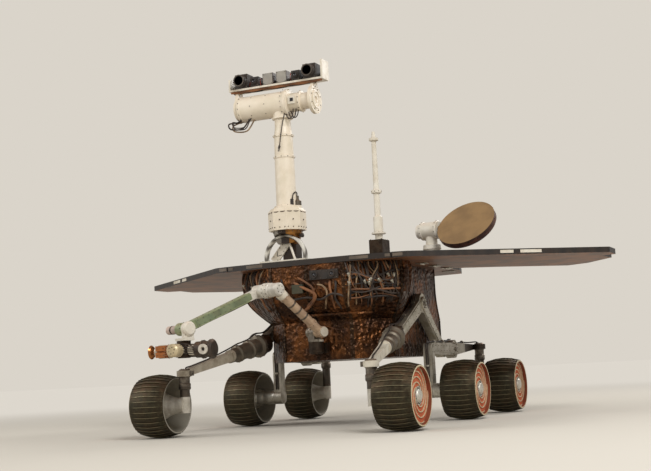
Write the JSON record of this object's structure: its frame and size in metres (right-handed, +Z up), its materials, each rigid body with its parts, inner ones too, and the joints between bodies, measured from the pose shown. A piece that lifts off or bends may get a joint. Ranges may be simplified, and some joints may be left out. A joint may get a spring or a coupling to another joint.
{
  "type": "planetary rover",
  "caption": "Six-wheeled solar rover with rocker suspension, camera mast, dish and rod antennas and a jointed instrument arm.",
  "frame": {"origin": "on the ground, at the middle of the length and width of the whole machine", "axes": "+X forward, +Y to port across the wings, +Z up"},
  "size_m": [1.796, 2.32, 1.569],
  "materials": {
    "tread_metal": "dark anodised barrel",
    "flexure_foam": "orange foam",
    "cream_paint": "satin",
    "white_paint": "satin",
    "grey_metal": "satin",
    "dark_metal": "satin",
    "gold_film": "crinkled gold film",
    "solar_panel": "dark cells on a composite panel",
    "dish_face": "matt tan",
    "black_camera": "matt black",
    "beige_tube": "satin",
    "copper_wire": "brown wrapped cable"
  },
  "bodies": {
    "rover": {"antenna_bracket": "dark_metal", "arm_mount": "dark_metal", "body_lower": "gold_film", "body_upper": "gold_film", "bogie_left": "grey_metal", "bogie_right": "grey_metal", "calibration_target": "grey_metal", "deck": "solar_panel", "deck_hinges": "grey_metal", "dish_base": "white_paint", "drive_housing_left": "cream_paint", "drive_housing_right": "cream_paint", "front_arm_left": "grey_metal", "front_arm_right": "grey_metal", "hazard_cameras": "black_camera", "mast_bracket": "cream_paint", "mast_coil": "copper_wire", "mast_collar": "cream_paint", "mast_post": "dark_metal", "rear_panel": "solar_panel", "rocker_left": "grey_metal", "rocker_right": "grey_metal", "rod_antenna": "grey_metal", "steering_motors": "grey_metal", "wing_left": "solar_panel", "wing_right": "solar_panel"},
    "wheel_front_left": {"wheel_front_left": "tread_metal", "wheel_foam_front_left": "flexure_foam"},
    "knuckle_front_left": {"knuckle_front_left": "cream_paint"},
    "wheel_front_right": {"wheel_front_right": "tread_metal", "wheel_foam_front_right": "flexure_foam"},
    "knuckle_front_right": {"knuckle_front_right": "cream_paint"},
    "wheel_middle_left": {"wheel_middle_left": "tread_metal", "wheel_foam_middle_left": "flexure_foam"},
    "wheel_middle_right": {"wheel_middle_right": "tread_metal", "wheel_foam_middle_right": "flexure_foam"},
    "wheel_rear_left": {"wheel_rear_left": "tread_metal", "wheel_foam_rear_left": "flexure_foam"},
    "knuckle_rear_left": {"knuckle_rear_left": "cream_paint"},
    "wheel_rear_right": {"wheel_rear_right": "tread_metal", "wheel_foam_rear_right": "flexure_foam"},
    "knuckle_rear_right": {"knuckle_rear_right": "cream_paint"},
    "mast": {"mast_tube": "cream_paint", "head_drum": "cream_paint"},
    "camera_head": {"camera_ears": "cream_paint", "camera_bar": "cream_paint", "cameras": "black_camera"},
    "dish_yoke": {"dish_yoke": "white_paint"},
    "dish": {"dish": "dish_face"},
    "arm_shoulder": {"arm_shoulder": "white_paint"},
    "upper_arm": {"upper_arm": "beige_tube"},
    "forearm": {"forearm": "grey_metal"},
    "arm_wrist": {"arm_wrist": "white_paint"},
    "turret": {"turret_hub": "dark_metal", "instruments": "grey_metal"}
  },
  "joints": [
    {"name": "steer_front_left", "type": "hinge", "parent": "rover", "child": "knuckle_front_left", "pos_m": [0.65199, 0.412, 0.13], "axis": [0, 0, 1], "range_deg": [-50, 50]},
    {"name": "roll_front_left", "type": "hinge", "parent": "knuckle_front_left", "child": "wheel_front_left", "pos_m": [0.65199, 0.53, 0.13], "axis": [0, 1, 0], "continuous": true},
    {"name": "steer_front_right", "type": "hinge", "parent": "rover", "child": "knuckle_front_right", "pos_m": [0.65199, -0.412, 0.13], "axis": [0, 0, 1], "range_deg": [-50, 50]},
    {"name": "roll_front_right", "type": "hinge", "parent": "knuckle_front_right", "child": "wheel_front_right", "pos_m": [0.65199, -0.53, 0.13], "axis": [0, 1, 0], "continuous": true},
    {"name": "roll_middle_left", "type": "hinge", "parent": "rover", "child": "wheel_middle_left", "pos_m": [-0.13801, 0.53, 0.13], "axis": [0, 1, 0], "continuous": true},
    {"name": "roll_middle_right", "type": "hinge", "parent": "rover", "child": "wheel_middle_right", "pos_m": [-0.13801, -0.53, 0.13], "axis": [0, 1, 0], "continuous": true},
    {"name": "steer_rear_left", "type": "hinge", "parent": "rover", "child": "knuckle_rear_left", "pos_m": [-0.76801, 0.412, 0.13], "axis": [0, 0, 1], "range_deg": [-50, 50]},
    {"name": "roll_rear_left", "type": "hinge", "parent": "knuckle_rear_left", "child": "wheel_rear_left", "pos_m": [-0.76801, 0.53, 0.13], "axis": [0, 1, 0], "continuous": true},
    {"name": "steer_rear_right", "type": "hinge", "parent": "rover", "child": "knuckle_rear_right", "pos_m": [-0.76801, -0.412, 0.13], "axis": [0, 0, 1], "range_deg": [-50, 50]},
    {"name": "roll_rear_right", "type": "hinge", "parent": "knuckle_rear_right", "child": "wheel_rear_right", "pos_m": [-0.76801, -0.53, 0.13], "axis": [0, 1, 0], "continuous": true},
    {"name": "mast_turn", "type": "hinge", "parent": "rover", "child": "mast", "pos_m": [0.28199, -0.09, 0.847], "axis": [0, 0, 1], "range_deg": [-180, 180]},
    {"name": "camera_tilt", "type": "hinge", "parent": "mast", "child": "camera_head", "pos_m": [0.28199, -0.09, 1.405], "axis": [0, 1, 0], "range_deg": [-90, 104]},
    {"name": "dish_turn", "type": "hinge", "parent": "rover", "child": "dish_yoke", "pos_m": [-0.53801, 0.28, 0.8], "axis": [0, 0, 1], "range_deg": [-160, 160]},
    {"name": "dish_tilt", "type": "hinge", "parent": "dish_yoke", "child": "dish", "pos_m": [-0.53801, 0.28, 0.885], "axis": [-0.1994, -0.9799, 0], "range_deg": [-43, 60]},
    {"name": "arm_turn", "type": "hinge", "parent": "rover", "child": "arm_shoulder", "pos_m": [0.27868, 0.01645, 0.404], "axis": [0, 0, 1], "range_deg": [-25, 70]},
    {"name": "arm_raise", "type": "hinge", "parent": "arm_shoulder", "child": "upper_arm", "pos_m": [0.29199, 0.045, 0.404], "axis": [-0.4226, -0.9063, 0], "range_deg": [-8, 12]},
    {"name": "arm_elbow", "type": "hinge", "parent": "upper_arm", "child": "forearm", "pos_m": [0.4991, -0.05158, 0.58254], "axis": [0.4226, 0.9063, 0], "range_deg": [-60, 8]},
    {"name": "arm_pitch", "type": "hinge", "parent": "forearm", "child": "arm_wrist", "pos_m": [0.80201, -0.31972, 0.43211], "axis": [-0.4226, -0.9063, 0], "range_deg": [-15, 90]},
    {"name": "turret_turn", "type": "hinge", "parent": "arm_wrist", "child": "turret", "pos_m": [0.80201, -0.31972, 0.34811], "axis": [0, 0, 1], "range_deg": [-170, 170]}
  ]
}
